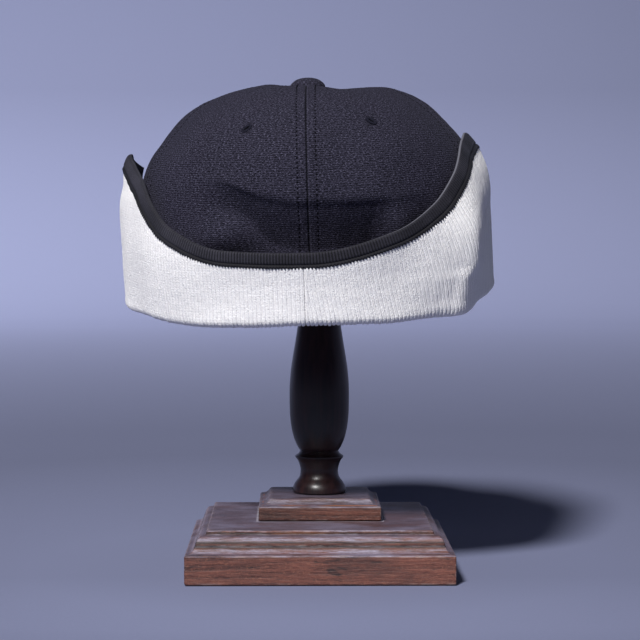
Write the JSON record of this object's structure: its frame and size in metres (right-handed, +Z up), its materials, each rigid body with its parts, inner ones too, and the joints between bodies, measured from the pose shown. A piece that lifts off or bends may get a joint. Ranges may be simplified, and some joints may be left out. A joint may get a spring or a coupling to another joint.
{
  "type": "winter cap with knit ear flap on a wooden hat stand",
  "caption": "Dark six-panel cap with a short bill and an off-white rib knit flap folded up round the back and sides, bound in black tape, resting on a turned wooden hat stand.",
  "frame": {"origin": "centre of the flat underside of the stand's plinth", "axes": "+Z up along the post, +Y the way the bill points, -Y the back of the cap, +X towards the wearer's right"},
  "size_m": [0.2057, 0.2745, 0.2691],
  "materials": {
    "crown_cloth": "dark navy plain-weave cotton, matt, with lighter flecks and soft creases",
    "rib_knit": "off-white rib knit with fine upright ribs, soft and matt",
    "tape": "black ribbed grosgrain tape with a low sheen",
    "plinth_wood": "red-brown stained wood, worn pale and dark along its edges",
    "post_wood": "near-black stained wood with a satin polish",
    "head_wood": "plain unpolished wood"
  },
  "bodies": {
    "root": {"crown_back_left": "crown_cloth", "crown_back_right": "crown_cloth", "crown_side_left": "crown_cloth", "crown_side_right": "crown_cloth", "crown_front_left": "crown_cloth", "crown_front_right": "crown_cloth", "top_button": "crown_cloth", "bill": "crown_cloth", "ear_flap_left": "rib_knit", "ear_flap_right": "rib_knit", "binding_tape": "tape", "plinth_lower": "plinth_wood", "plinth_upper": "plinth_wood", "stand_post": "post_wood", "stand_head": "head_wood"}
  },
  "joints": []
}
